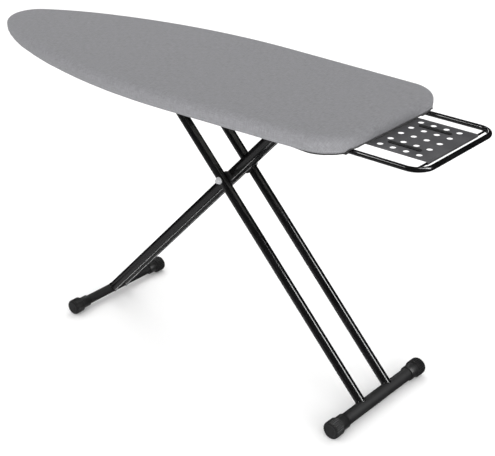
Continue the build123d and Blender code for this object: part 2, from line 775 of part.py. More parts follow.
make_cover()
make_felt_pad()
make_perforated_deck()
make_rim()
make_brace("front_brace", rail_start_x + brace_width / 2, rail_top_z, rail_brace_half)
make_brace("rear_brace", rail_end_x - brace_width / 2, rail_top_z, rail_brace_half)
make_brace("hinge_brace", hinge_x, pin_z + cross_tube_radius + hinge_brace_clearance, hinge_brace_half)
make_hinge_pin()
front_guide_x = end_x - front_guide_inside + guide_length / 2
rear_guide_x = tray_tail_x - stop_end_wall + stop_length + guide_gap + guide_length / 2
for word, side in SIDES:
    make_slide_rail(f"slide_rail_{word}", side)
    make_hinge_bracket(f"hinge_bracket_{word}", side)
    make_tray_guide(f"tray_guide_front_{word}", side, front_guide_x)
    make_tray_guide(f"tray_guide_rear_{word}", side, rear_guide_x)
    make_rail_stop(f"rail_stop_{word}", side)
    make_rest_strip(f"rest_strip_{word}", side)
    make_inner_tube(f"inner_tube_{word}", side)
    make_outer_tube(f"outer_tube_{word}", side)
    make_tube_plug(f"tube_plug_{word}", side)
    make_hinge_bush(f"hinge_bush_{word}", side)
    make_pivot_spacer(f"pivot_spacer_{word}", side)
    make_pivot_nut(f"pivot_nut_{word}", side)
    make_roller(f"crossbar_roller_{word}", side)
    make_foot_cap(f"inner_foot_cap_{word}", side, inner_foot_x, inner_bar_radius, inner_cap_radius,
                  inner_bar_half)
    make_foot_cap(f"outer_foot_cap_{word}", side, outer_foot_x, outer_bar_radius, outer_cap_radius,
                  outer_bar_half)
make_locking_strip()
make_lever_rod()
make_lever_grip()
make_lever_pin()
make_lever_bracket()
make_lever_spring()
make_tray_frame()
make_tray_rod("tray_front_rod", front_rod_x)
make_tray_rod("tray_rear_rod", rear_rod_x)
make_rest_plate()
make_cross_tube()
make_pivot_block()
make_pivot_bolt()
make_pivot_washers()
make_crossbar()
make_foot_bar("inner_foot_bar", inner_foot_x, inner_cap_radius, inner_bar_radius, inner_bar_half)
make_foot_bar("outer_foot_bar", outer_foot_x, outer_cap_radius, outer_bar_radius, outer_bar_half)
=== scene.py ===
"""Folding ironing board: grey cotton cover, steam deck, black enamelled legs and a sliding iron rest.

Everything is in metres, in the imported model's frame: X runs towards the square end, Z is up and
the floor is at z = 0.
"""
import json
import math

import bmesh
import bpy
from mathutils import Euler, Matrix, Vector, noise
from mathutils.geometry import delaunay_2d_cdt
from mathutils.kdtree import KDTree


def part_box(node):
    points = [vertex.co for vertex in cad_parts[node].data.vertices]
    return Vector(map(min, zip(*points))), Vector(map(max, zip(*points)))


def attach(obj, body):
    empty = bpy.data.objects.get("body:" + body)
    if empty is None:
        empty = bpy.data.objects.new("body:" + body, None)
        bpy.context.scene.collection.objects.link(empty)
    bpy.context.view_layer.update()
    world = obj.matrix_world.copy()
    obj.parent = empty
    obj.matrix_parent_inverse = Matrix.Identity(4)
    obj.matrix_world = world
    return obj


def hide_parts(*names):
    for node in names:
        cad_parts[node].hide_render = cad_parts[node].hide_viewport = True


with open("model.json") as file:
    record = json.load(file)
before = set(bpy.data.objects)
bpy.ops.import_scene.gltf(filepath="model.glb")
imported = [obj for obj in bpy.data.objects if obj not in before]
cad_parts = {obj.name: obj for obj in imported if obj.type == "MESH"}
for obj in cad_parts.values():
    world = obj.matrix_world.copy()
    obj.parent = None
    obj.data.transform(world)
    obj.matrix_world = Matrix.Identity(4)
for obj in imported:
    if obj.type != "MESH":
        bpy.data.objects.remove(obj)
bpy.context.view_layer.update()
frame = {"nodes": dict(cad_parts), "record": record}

scene = bpy.context.scene
MM = 0.001

# ---- sizes that the cover's cut shares with the steel deck under it ---------------------------
COVER_LOW, COVER_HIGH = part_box("cover")
NOSE_X, END_X, TOP_Z = COVER_LOW.x, COVER_HIGH.x, COVER_HIGH.z
HALF_WIDTH = COVER_HIGH.y
WIDEST_FROM_NOSE = 720 * MM
TIP_RADIUS = 82 * MM
FLANK_RADIUS = 780 * MM
SHOULDER_RADIUS = 1600 * MM
CORNER_RADIUS = 88 * MM
SIDE_TAPER = math.radians(2.1)
SHOULDER_WIDTH = 22 * MM            # how far in from the edge the roll of the cover begins
ROLL_DROP = 16 * MM                 # how far down the side the roll ends
SKIRT_IN = 0.2 * MM                 # the skirt hangs this far in from the plan's edge
CROWN_DROP, CROWN_FADE = 1.6 * MM, 45 * MM
CLOTH = 1.1 * MM
REST_HALF = 168 * MM                # the hem is lifted over the iron rest, out to here on each side
HEM_LIFT = 6 * MM
HEM_TURNED = 6.5 * MM
STITCH_PITCH, STITCH_LENGTH, THREAD = 3.8 * MM, 2.9 * MM, 0.5 * MM
CELL_PITCH, CELL_WEB = 15 * MM, 2.0 * MM
CELLS_IN = 20 * MM                  # the honeycomb's outermost middles are this far in
BORDER_IN, BORDER_TO = 5 * MM, 26 * MM
TAPE_HALF_WIDTH, TAPE_HALF_HEIGHT = 1.5 * MM, 1.15 * MM
BEAD, BEAD_RIPPLE = 1.9 * MM, 0.28 * MM
CAP_RIBS, RIB_GROOVE = 24, 1.3 * MM


# ---- camera and studio ------------------------------------------------------------------------
def look(thing, place, target):
    """Puts a light or the camera somewhere and turns it towards a point."""
    thing.location = place
    thing.rotation_euler = (Vector(target) - Vector(place)).to_track_quat("-Z", "Y").to_euler()


camera = bpy.data.objects.new("camera", bpy.data.cameras.new("camera"))
camera.data.lens = 91.76
camera.data.sensor_width = 36
scene.collection.objects.link(camera)
look(camera, (1.9414, -2.1768, 1.7490), (0.1155, 0.0, 0.351))
scene.camera = camera
scene.view_settings.view_transform = "Standard"
scene.view_settings.look = "None"


def softbox(name, place, target, width, height, power, shine):
    """A rectangular area light that is either only mirrored in gloss (shine) or only lights surfaces."""
    light = bpy.data.lights.new(name, "AREA")
    light.shape = "RECTANGLE"
    light.size, light.size_y = width, height
    light.energy = power
    box = bpy.data.objects.new(name, light)
    box.visible_glossy = shine
    box.visible_diffuse = not shine
    box.visible_camera = False
    scene.collection.objects.link(box)
    look(box, place, target)


softbox("front_fill", (0.9, -3.6, 0.9), (-0.1, 0, 0.7), 3.0, 1.2, 62, shine=False)
softbox("back_key", (-1.6, 1.3, 2.9), (0.1, 0, 0.3), 2.2, 2.2, 24, shine=False)
softbox("end_fill", (3.0, -1.0, 1.1), (0.5, 0, 0.72), 1.4, 1.0, 26, shine=False)
# what follows is only mirrored: long thin glints down the legs' tubes and round the iron rest
softbox("outer_leg_strip", (2.31, 0.44, 2.55), (0.3, 0, 0.35), 0.55, 3.8, 115, shine=True)
# these two are mirrored in the inner leg from under the floor, which gloss doesn't see
softbox("inner_leg_panel", (-0.9, -0.9, -1.2), (-0.1, 0, 0.3), 3.0, 3.0, 9, shine=True)
softbox("inner_leg_strip", (-0.22, 0.62, -1.0), (-0.1, 0, 0.35), 2.6, 0.1, 3.5, shine=True)
softbox("iron_rest_square", (-0.67, -1.16, 2.09), (0.6, 0, 0.72), 0.6, 0.6, 14, shine=True)
softbox("back_strip", (-1.8, 2.4, 2.0), (0, 0, 0.4), 0.2, 2.4, 12, shine=True)

world = bpy.data.worlds.new("studio")
scene.world = world
world.use_nodes = True
world.node_tree.nodes["Background"].inputs["Color"].default_value = (1, 1, 1, 1)
world.node_tree.nodes["Background"].inputs["Strength"].default_value = 1.03
world.cycles_visibility.glossy = False


# ---- materials --------------------------------------------------------------------------------
def linear(colour):
    """An sRGB hex colour as the linear colour that a shader works in."""
    parts = [int(colour[i:i + 2], 16) / 255 for i in (1, 3, 5)]
    return tuple(c / 12.92 if c <= 0.04045 else ((c + 0.055) / 1.055) ** 2.4 for c in parts) + (1.0,)


def node(tree, kind, inputs=None, **settings):
    """Adds a node, sets its properties, then sets or links its inputs by name or number."""
    made = tree.nodes.new(kind)
    for name, value in settings.items():
        setattr(made, name, value)
    for key, value in (inputs or {}).items():
        if isinstance(value, bpy.types.NodeSocket):
            tree.links.new(value, made.inputs[key])
        else:
            made.inputs[key].default_value = value
    return made


def finish_named(name, **even):
    """A new material's node tree and shader, with what is the same all over set on the shader."""
    made = bpy.data.materials.new(name)
    made.use_nodes = True
    shader = made.node_tree.nodes["Principled BSDF"]
    for socket, value in even.items():
        shader.inputs[socket.replace("_", " ")].default_value = value
    return made, made.node_tree, shader


def heather_cotton():
    """Grey heather plain-weave cotton: matt, softly mottled where dark and light fibres mix."""
    made, tree, shader = finish_named("heather_grey_woven_cotton", Sheen_Weight=0.15, Sheen_Roughness=0.4,
                                      Sheen_Tint=linear("#c9c9cc"), IOR=1.5, Specular_IOR_Level=0.25)
    cut = node(tree, "ShaderNodeUVMap", uv_map="cloth_cut").outputs[0]
    # a yarn's slubs: 2 mm across and 16 mm along, once for the warp and once for the weft
    warp = node(tree, "ShaderNodeMapping", {"Vector": cut, "Scale": (1 / 0.016, 1 / 0.0022, 1)}).outputs[0]
    weft = node(tree, "ShaderNodeMapping", {"Vector": cut, "Scale": (1 / 0.0022, 1 / 0.016, 1)}).outputs[0]
    warp_slub = node(tree, "ShaderNodeTexNoise", {"Vector": warp, "Scale": 1.0, "Detail": 3.0}).outputs[0]
    weft_slub = node(tree, "ShaderNodeTexNoise", {"Vector": weft, "Scale": 1.0, "Detail": 3.0}).outputs[0]
    slubs = node(tree, "ShaderNodeMath", {0: warp_slub, 1: weft_slub}, operation="ADD").outputs[0]
    # drifts of shade about 70 mm across, as dyed fibre gives in the piece
    drift = node(tree, "ShaderNodeTexNoise", {"Vector": cut, "Scale": 1 / 0.07, "Detail": 4.0}).outputs[0]
    fleck = node(tree, "ShaderNodeMapRange", {0: slubs, 1: 0.72, 2: 1.28}).outputs[0]
    dark_light = node(tree, "ShaderNodeMix", {0: fleck, 6: linear("#6f6f71"), 7: linear("#858588")},
                      data_type="RGBA").outputs[2]
    shade = node(tree, "ShaderNodeMapRange", {0: drift, 1: 0.3, 2: 0.7, 3: 0.0, 4: 0.35}).outputs[0]
    colour = node(tree, "ShaderNodeMix", {0: shade, 6: dark_light, 7: linear("#7e7e81")},
                  data_type="RGBA").outputs[2]
    tree.links.new(colour, shader.inputs["Base Color"])
    rough = node(tree, "ShaderNodeMapRange", {0: slubs, 1: 0.7, 2: 1.3, 3: 0.82, 4: 0.95}).outputs[0]
    tree.links.new(rough, shader.inputs["Roughness"])
    # the threads lie 0.5 mm apart, drawn 1.5 mm apart so that the weave shows
    threads = [node(tree, "ShaderNodeTexWave", {"Vector": cut, "Scale": 0.314 / 0.0015, "Distortion": 0.6,
                                                "Detail": 1.0, "Detail Scale": 3.0},
                    bands_direction=way).outputs["Fac"] for way in ("X", "Y")]
    weave = node(tree, "ShaderNodeMath", {0: threads[0], 1: threads[1]}, operation="MULTIPLY").outputs[0]
    height = node(tree, "ShaderNodeMath", {0: weave, 1: slubs}, operation="ADD").outputs[0]
    bump = node(tree, "ShaderNodeBump", {"Height": height, "Strength": 0.5, "Distance": 0.25 * MM}).outputs[0]
    tree.links.new(bump, shader.inputs["Normal"])
    return made


def needle_felt():
    """Off-white needle-punched felt: fluffy fibres lying every way, with a sprinkle of grey lint."""
    made, tree, shader = finish_named("needle_punched_felt", Roughness=0.95, Sheen_Weight=0.5, IOR=1.5)
    place = node(tree, "ShaderNodeTexCoord").outputs["Object"]
    fibres = node(tree, "ShaderNodeTexNoise", {"Vector": place, "Scale": 1 / 0.003, "Detail": 6.0,
                                               "Distortion": 1.5}).outputs[0]
    spread = node(tree, "ShaderNodeMapRange", {0: fibres, 1: 0.3, 2: 0.7}).outputs[0]
    colour = node(tree, "ShaderNodeMix", {0: spread, 6: linear("#cfcbc2"), 7: linear("#ece9e1")},
                  data_type="RGBA").outputs[2]
    tree.links.new(colour, shader.inputs["Base Color"])
    bump = node(tree, "ShaderNodeBump", {"Height": fibres, "Strength": 0.7, "Distance": 0.5 * MM}).outputs[0]
    tree.links.new(bump, shader.inputs["Normal"])
    return made


def coated_steel(name, dark, light, rough, peel, gloss=0.0, metallic=0.0):
    """Powder-coated or enamelled steel: an even colour under an orange-peel skin of soft ripples."""
    made, tree, shader = finish_named(name, Metallic=metallic, IOR=1.5, Coat_Weight=gloss,
                                      Coat_Roughness=0.12)
    place = node(tree, "ShaderNodeTexCoord").outputs["Object"]
    # orange peel is about 2 mm from crest to crest, and the coat's shade drifts over 60 mm
    ripples = node(tree, "ShaderNodeTexNoise",
                   {"Vector": place, "Scale": 1 / 0.002, "Detail": 2.0}).outputs[0]
    drift = node(tree, "ShaderNodeTexNoise", {"Vector": place, "Scale": 1 / 0.06, "Detail": 3.0}).outputs[0]
    shade = node(tree, "ShaderNodeMapRange", {0: drift, 1: 0.3, 2: 0.7}).outputs[0]
    colour = node(tree, "ShaderNodeMix", {0: shade, 6: linear(dark), 7: linear(light)},
                  data_type="RGBA").outputs[2]
    tree.links.new(colour, shader.inputs["Base Color"])
    dull = node(tree, "ShaderNodeMapRange",
                {0: drift, 1: 0.3, 2: 0.7, 3: rough - 0.05, 4: rough + 0.06}).outputs[0]
    tree.links.new(dull, shader.inputs["Roughness"])
    bump = node(tree, "ShaderNodeBump",
                {"Height": ripples, "Strength": peel, "Distance": 0.05 * MM}).outputs[0]
    tree.links.new(bump, shader.inputs["Normal"])
    return made


def moulded(name, dark, light, rough, grain, depth):
    """Moulded plastic or silicone: matt, with the fine grain that a spark-eroded mould leaves."""
    made, tree, shader = finish_named(name, IOR=1.46)
    place = node(tree, "ShaderNodeTexCoord").outputs["Object"]
    pits = node(tree, "ShaderNodeTexVoronoi", {"Vector": place, "Scale": 1 / grain}).outputs["Distance"]
    rub = node(tree, "ShaderNodeTexNoise", {"Vector": place, "Scale": 1 / 0.012, "Detail": 4.0}).outputs[0]
    shade = node(tree, "ShaderNodeMapRange", {0: rub, 1: 0.35, 2: 0.7}).outputs[0]
    colour = node(tree, "ShaderNodeMix", {0: shade, 6: linear(dark), 7: linear(light)},
                  data_type="RGBA").outputs[2]
    tree.links.new(colour, shader.inputs["Base Color"])
    dull = node(tree, "ShaderNodeMapRange",
                {0: rub, 1: 0.3, 2: 0.7, 3: rough + 0.05, 4: rough - 0.07}).outputs[0]
    tree.links.new(dull, shader.inputs["Roughness"])
    bump = node(tree, "ShaderNodeBump", {"Height": pits, "Strength": 0.4, "Distance": depth}).outputs[0]
    tree.links.new(bump, shader.inputs["Normal"])
    return made


def plated_steel(name, dark, light, rough, spangle, metallic=1.0):
    """Zinc-plated steel: pale crystals of slightly different shine, with fine scuffs over them."""
    made, tree, shader = finish_named(name, Metallic=metallic)
    place = node(tree, "ShaderNodeTexCoord").outputs["Object"]
    crystals = node(tree, "ShaderNodeTexVoronoi", {"Vector": place, "Scale": 1 / spangle}).outputs["Color"]
    grey = node(tree, "ShaderNodeSeparateColor", {0: crystals}).outputs[0]
    colour = node(tree, "ShaderNodeMix", {0: grey, 6: linear(dark), 7: linear(light)},
                  data_type="RGBA").outputs[2]
    tree.links.new(colour, shader.inputs["Base Color"])
    dull = node(tree, "ShaderNodeMapRange", {0: grey, 3: rough - 0.04, 4: rough + 0.06}).outputs[0]
    tree.links.new(dull, shader.inputs["Roughness"])
    scuffs = node(tree, "ShaderNodeTexNoise",
                  {"Vector": place, "Scale": 1 / 0.0015, "Detail": 3.0}).outputs[0]
    bump = node(tree, "ShaderNodeBump", {"Height": scuffs, "Strength": 0.2, "Distance": 0.03 * MM}).outputs[0]
    tree.links.new(bump, shader.inputs["Normal"])
    return made


finishes = {
    "cover_cloth": heather_cotton(),
    "felt": needle_felt(),
    "deck_steel": coated_steel("grey_powder_coated_sheet", "#8e9093", "#a2a4a7", 0.45, 0.4),
    "black_enamel": coated_steel("gloss_black_powder_coat", "#0b0b0b", "#131314", 0.2, 0.2, gloss=0.5),
    "grey_enamel": coated_steel("satin_grey_enamel", "#48484a", "#525254", 0.42, 0.5),
    "black_plastic": moulded("moulded_black_polypropylene", "#191919", "#242425", 0.42, 0.0009, 0.06 * MM),
    "silicone": moulded("matt_black_silicone", "#0e0e0f", "#161617", 0.62, 0.0007, 0.04 * MM),
    "bright_steel": plated_steel("bright_zinc_plated_steel", "#dcdddf", "#ececee", 0.3, 0.006, metallic=0.6),
    "zinc_steel": plated_steel("zinc_plated_steel", "#9c9fa3", "#b7babd", 0.34, 0.004),
}
matt_black = coated_steel("matt_black_powder_coat", "#181819", "#202021", 0.55, 0.5)
for row in frame["record"]["subparts"]:
    coat = matt_black if row["node"].endswith("foot_bar") else finishes.get(row.get("material_slot"))
    if coat:
        frame["nodes"][row["node"]].data.materials.clear()
        frame["nodes"][row["node"]].data.materials.append(coat)


# ---- making pieces ----------------------------------------------------------------------------
def piece(name, points, faces, finish, smooth=True):
    """A named object whose place is in its mesh."""
    mesh = bpy.data.meshes.new(name)
    mesh.from_pydata([tuple(p) for p in points], [], faces)
    mesh.update()
    mesh.materials.append(finish)
    if smooth:
        mesh.shade_smooth()
    made = bpy.data.objects.new(name, mesh)
    scene.collection.objects.link(made)
    return made


def plan_runs():
    """The far half of the board's edge as runs (length, point and outward direction at a length)."""
    tip = Vector((NOSE_X + TIP_RADIUS, 0))
    shoulder = Vector((NOSE_X + WIDEST_FROM_NOSE, HALF_WIDTH - SHOULDER_RADIUS))
    near, far = FLANK_RADIUS - TIP_RADIUS, SHOULDER_RADIUS - FLANK_RADIUS
    gap = shoulder - tip
    reach = (near ** 2 - far ** 2 + gap.length_squared) / (2 * gap.length)
    unit = gap.normalized()
    flank = tip + unit * reach + Vector((-unit.y, unit.x)) * math.sqrt(near ** 2 - reach ** 2)
    side_way = math.pi / 2 - SIDE_TAPER
    side = Vector((math.cos(side_way), math.sin(side_way)))
    corner_x = END_X - CORNER_RADIUS
    corner_y = (side.dot(shoulder) + SHOULDER_RADIUS - CORNER_RADIUS - side.x * corner_x) / side.y
    corner = Vector((corner_x, corner_y))

    def arc(centre, radius, start, end):
        def at(run):
            way = start - run / radius
            out = Vector((math.cos(way), math.sin(way)))
            return centre + out * radius, out
        return radius * (start - end), at

    def line(first, last, out):
        return (last - first).length, lambda run: (first + (last - first).normalized() * run, out)

    flank_way = math.atan2(tip.y - flank.y, tip.x - flank.x)
    shoulder_way = math.atan2(flank.y - shoulder.y, flank.x - shoulder.x)
    return [
        arc(tip, TIP_RADIUS, math.pi, flank_way),
        arc(flank, FLANK_RADIUS, flank_way, shoulder_way),
        arc(shoulder, SHOULDER_RADIUS, shoulder_way, side_way),
        line(shoulder + side * SHOULDER_RADIUS, corner + side * CORNER_RADIUS, side),
        arc(corner, CORNER_RADIUS, side_way, 0.0),
        line(Vector((END_X, corner_y)), Vector((END_X, 0)), Vector((1, 0))),
    ]


def plan_edge(count):
    """Evenly spaced (point, outward direction, run) round the whole edge, starting at the nose."""
    runs = plan_runs()
    half = sum(length for length, _ in runs)
    found = []
    for k in range(count):
        run = 2 * half * k / count
        left = min(run, 2 * half - run)
        for length, at in runs:
            if left <= length + 1e-9:
                break
            left -= length
        point, out = at(min(left, length))
        flip = -1 if run > half else 1
        found.append((Vector((point.x, point.y * flip)), Vector((out.x, out.y * flip)), run))
    return found


def blend_step(value, low, high):
    """0 below low, 1 above high and a soft slope between."""
    t = max(0.0, min(1.0, (value - low) / (high - low)))
    return t * t * (3 - 2 * t)


def hem_rise(point):
    """How far the hem is lifted here: it clears the iron rest across the square end."""
    if point.x < END_X - 30 * MM:
        return 0.0
    return HEM_LIFT * (1 - blend_step(abs(point.y), REST_HALF - 12 * MM, REST_HALF + 6 * MM))


def bare_hem_shade(point):
    """1 round the square end and its corners, where the black binding is left bare under the skirt as painted
    shade along the hem's lower edge, 0 elsewhere.
    """
    return blend_step(point.x, END_X - 150 * MM, END_X - 55 * MM)


def gathered(point, run, down):
    """Sideways swell of the skirt: pleats at the nose and corners, slack elsewhere, most at the hem."""
    bend = max(1 - blend_step(point.x, NOSE_X + 60 * MM, NOSE_X + 260 * MM),
               blend_step(point.x, END_X - 130 * MM, END_X - 70 * MM)
               * blend_step(abs(point.y), 90 * MM, 130 * MM))
    pleat = noise.noise(Vector((run / (9 * MM), 3.7, down * 0.6)))
    slack = noise.noise(Vector((run / (55 * MM), 8.1, down)))
    return (0.9 * MM * bend * pleat + 0.8 * MM * slack) * down ** 1.5


def crown(inset):
    """Drop of the cover's top from its highest level, at this distance in from the edge."""
    return CROWN_DROP * math.exp(-max(inset, 0) / CROWN_FADE)


def skirt_profile(lift):
    """(inset, height, share of the way down the side), from the top's edge down to the hem."""
    rows = []
    for step in range(1, 9):
        turn = math.pi / 2 * step / 8
        inset = SHOULDER_WIDTH * (1 - math.sin(turn)) + SKIRT_IN
        rows.append((inset, TOP_Z - ROLL_DROP * (1 - math.cos(turn)) ** 1.05 - crown(inset), 0.25 * step / 8))
    side_top = rows[-1][1]
    hem = COVER_LOW.z + 0.4 * MM + lift
    for step in range(1, 8):
        share = step / 7
        rows.append((SKIRT_IN + 2.4 * MM * share ** 2.2, side_top + (hem - side_top) * share,
                     0.25 + 0.75 * share))
    return rows


def cover_level(inset):
    """Height of the cover's upper face at this distance in from the edge."""
    if inset >= SHOULDER_WIDTH + SKIRT_IN:
        return TOP_Z - crown(inset)
    turn = math.asin(max(0.0, min(1.0, 1 - (inset - SKIRT_IN) / SHOULDER_WIDTH)))
    return TOP_Z - ROLL_DROP * (1 - math.cos(turn)) ** 1.05 - crown(inset)


def filled(edge, inset, spacing):
    """The plan inside a ring drawn in by inset: its points, ring first, their insets and its triangles."""
    ring = KDTree(len(edge))
    points = [point - out * inset for point, out, _ in edge]
    insets = [inset] * len(edge)
    for k, place in enumerate(points):
        ring.insert((place.x, place.y, 0), k)
    ring.balance()
    step = spacing * math.sqrt(3) / 2
    columns = int(HALF_WIDTH / spacing) + 1
    for row in range(int((END_X - NOSE_X) / step)):
        for column in range(-columns, columns + 1):
            place = Vector((NOSE_X + row * step, (column + (row % 2) / 2) * spacing))
            _, k, away = ring.find((place.x, place.y, 0))
            if (place - points[k]).dot(edge[k][1]) < 0 and away > spacing / 2:
                points.append(place)
                insets.append(inset + away)
    border = [(k, (k + 1) % len(edge)) for k in range(len(edge))]
    made = delaunay_2d_cdt(points, border, [], 1, 1e-6)
    triangles = []
    for corner in made[2]:
        a, b, c = (made[3][k][0] for k in corner)
        up = (points[b] - points[a]).cross(points[c] - points[a]) > 0
        triangles.append((a, b, c) if up else (a, c, b))
    return points, insets, triangles


def band(faces, above, below):
    """Joins two rings of points with faces that look outwards, the first ring being the upper one."""
    for k in range(len(above)):
        after = (k + 1) % len(above)
        faces.append((above[k], above[after], below[after], below[k]))


def make_cover():
    """The cover: one stretched sheet, crowned on the pad, rolled over the edge and gathered at the hem."""
    edge = plan_edge(860)
    cut, insets, faces = filled(edge, SHOULDER_WIDTH + 1.2 * MM, 11.5 * MM)
    points = []
    for k, (place, inset) in enumerate(zip(cut, insets)):
        # the felt under the cloth is a little lumpy, over about 150 mm
        lumps = 0.0
        if k >= len(edge):
            lumps = noise.noise(Vector((place.x / 0.15, place.y / 0.15, 0.3))) * 0.5 * MM
        points.append(Vector((place.x, place.y, cover_level(inset) + lumps - 0.2 * MM)))
    above = list(range(len(edge)))
    length = [0.0] * len(edge)
    profile_rows = len(skirt_profile(0.0))
    for level in range(profile_rows + 3):
        row = []
        for k, (point, out, run) in enumerate(edge):
            profile = skirt_profile(hem_rise(point))
            if level < profile_rows:
                inset, height, down = profile[level]
            else:
                # turned under by 6.5 mm, or by 2 mm where the black binding is left bare as painted shade
                # along the hem
                under = (level - profile_rows + 1) / 3
                inset = profile[-1][0] + (HEM_TURNED - 4.5 * MM * bare_hem_shade(point)) * under
                height = profile[-1][1] - 0.7 * MM * math.sin(math.pi * min(under, 0.75) / 1.5)
                down = 1.0
            place = point - out * (inset - gathered(point, run, down))
            spot = Vector((place.x, place.y, height))
            length[k] += (spot - points[above[k]]).length
            row.append(len(points))
            points.append(spot)
            cut.append(cut[k] + out * length[k])
        band(faces, above, row)
        above = row
    cover = piece("cotton_cover", points, faces, finishes["cover_cloth"])
    layer = cover.data.uv_layers.new(name="cloth_cut")
    for loop in cover.data.loops:
        layer.data[loop.index].uv = cut[loop.vertex_index]
    thick = cover.modifiers.new("cloth_thickness", "SOLIDIFY")
    thick.thickness = CLOTH
    thick.offset = -1
    return cover


def make_pad():
    """The felt layer: crowned under the cover, rounded at its edge and flat where it lies on the deck."""
    edge = plan_edge(500)
    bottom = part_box("felt_pad")[0].z + 0.05 * MM
    gap = CLOTH + 0.6 * MM
    plan, insets, faces = filled(edge, 30 * MM, 16 * MM)
    points = [Vector((p.x, p.y, cover_level(inset) - gap - 0.6 * MM)) for p, inset in zip(plan, insets)]
    above = list(range(len(edge)))
    for inset, drop in ((24, 0.5), (19, 0.3), (14, 0.15), (10, 0.05), (7.5, 0.0), (6.2, 0.3), (5.6, 1.0)):
        row = []
        for point, out, run in edge:
            place = point - out * inset * MM
            frayed = noise.noise(Vector((run / 0.012, inset, 1.0))) * 0.15 * MM
            row.append(len(points))
            points.append(Vector((place.x, place.y, max(cover_level(inset * MM) - gap - drop * MM + frayed,
                                                        bottom + 0.3 * MM))))
        band(faces, above, row)
        above = row
    plan, _, under = filled(edge, 5.8 * MM, 40 * MM)
    first = len(points)
    points += [Vector((p.x, p.y, bottom)) for p in plan]
    band(faces, above, list(range(first, first + len(edge))))
    faces += [(first + a, first + c, first + b) for a, b, c in under]
    return piece("felt_layer", points, faces, finishes["felt"])


def make_binding():
    """The elastic tape sewn round the hem: tucked under the long sides, bare at the square end, where the
    real tape's black also serves as painted shade along the hem's lower edge.
    """
    edge = plan_edge(620)
    points, faces, rings, along = [], [], [], []
    for point, out, run in edge:
        shade_tape_share = bare_hem_shade(point)
        # where shade_tape_share is 1 the tape sits lower and further out, so that its black shows as painted
        # shade under the hem
        inset = (8.6 - 6.6 * shade_tape_share) * MM
        low = COVER_LOW.z + hem_rise(point) + (0.1 - 1.1 * shade_tape_share) * MM
        centre = point - out * (inset - gathered(point, run, 1.0) * shade_tape_share)
        ring = []
        for step in range(8):
            way = math.tau * step / 8
            across = TAPE_HALF_WIDTH * math.copysign(abs(math.cos(way)) ** 0.6, math.cos(way))
            up = TAPE_HALF_HEIGHT * math.copysign(abs(math.sin(way)) ** 0.6, math.sin(way))
            place = centre + out * across
            ring.append(len(points))
            points.append(Vector((place.x, place.y, low + up)))
            along.append((run, step / 8))
        rings.append(ring)
    for k, ring in enumerate(rings):
        after = rings[(k + 1) % len(rings)]
        for step in range(8):
            nxt = (step + 1) % 8
            faces.append((ring[step], ring[nxt], after[nxt], after[step]))
    tape = piece("hem_binding", points, faces, woven_elastic())
    layer = tape.data.uv_layers.new(name="along_tape")
    for loop in tape.data.loops:
        layer.data[loop.index].uv = along[loop.vertex_index]
    return tape


def woven_elastic():
    """Black woven elastic: a ribbed band, each rib a rubber thread wrapped in polyester; its black also
    serves as painted shade where the tape is bare under the hem.
    """
    made, tree, shader = finish_named("black_woven_elastic_as_hem_shade", Roughness=0.8, Sheen_Weight=0.2, IOR=1.5)
    tape = node(tree, "ShaderNodeUVMap", uv_map="along_tape").outputs[0]
    ribs = node(tree, "ShaderNodeTexWave", {"Vector": tape, "Scale": 0.314 / 0.0018, "Distortion": 0.4},
                bands_direction="X").outputs["Fac"]
    # near-black: the tape's own colour, which at the square end also paints the shade under the hem
    colour = node(tree, "ShaderNodeMix", {0: ribs, 6: linear("#0d0d0e"), 7: linear("#1d1d1f")},
                  data_type="RGBA").outputs[2]
    tree.links.new(colour, shader.inputs["Base Color"])
    bump = node(tree, "ShaderNodeBump", {"Height": ribs, "Strength": 0.6, "Distance": 0.2 * MM}).outputs[0]
    tree.links.new(bump, shader.inputs["Normal"])
    return made


# ---- what repeats: trees of Geometry Nodes -------------------------------------------------------
def new_tree(name, sizes):
    """A modifier's node tree with named inputs for its sizes and its material."""
    tree = bpy.data.node_groups.new(name, "GeometryNodeTree")
    tree.interface.new_socket("Geometry", in_out="INPUT", socket_type="NodeSocketGeometry")
    for size in sizes:
        tree.interface.new_socket(size, in_out="INPUT", socket_type="NodeSocketFloat")
    tree.interface.new_socket("Finish", in_out="INPUT", socket_type="NodeSocketMaterial")
    tree.interface.new_socket("Geometry", in_out="OUTPUT", socket_type="NodeSocketGeometry")
    return tree, node(tree, "NodeGroupInput").outputs


def close_tree(tree, instances, finish):
    """Ends a tree: the copies are made real and given their material."""
    real = node(tree, "GeometryNodeRealizeInstances", {"Geometry": instances}).outputs[0]
    named = node(tree, "GeometryNodeSetMaterial", {"Geometry": real, "Material": finish}).outputs[0]
    node(tree, "NodeGroupOutput", {0: named})


def grown(name, base, tree, values):
    """Runs a tree on a base mesh and keeps what it makes as a plain mesh of its own."""
    base.modifiers.clear()
    run = base.modifiers.new(tree.name, "NODES")
    run.node_group = tree
    for item in tree.interface.items_tree:
        if item.in_out == "INPUT" and item.name in values:
            run[item.identifier] = values[item.name]
    shape = base.evaluated_get(bpy.context.evaluated_depsgraph_get())
    mesh = bpy.data.meshes.new_from_object(shape)
    made = bpy.data.objects.new(name, mesh)
    scene.collection.objects.link(made)
    bpy.data.objects.remove(base)
    return made


def path(points):
    """A closed line of bare edges for a tree to follow."""
    count = len(points)
    mesh = bpy.data.meshes.new("path")
    mesh.from_pydata([tuple(p) for p in points], [(k, (k + 1) % count) for k in range(count)], [])
    made = bpy.data.objects.new("path", mesh)
    scene.collection.objects.link(made)
    return made


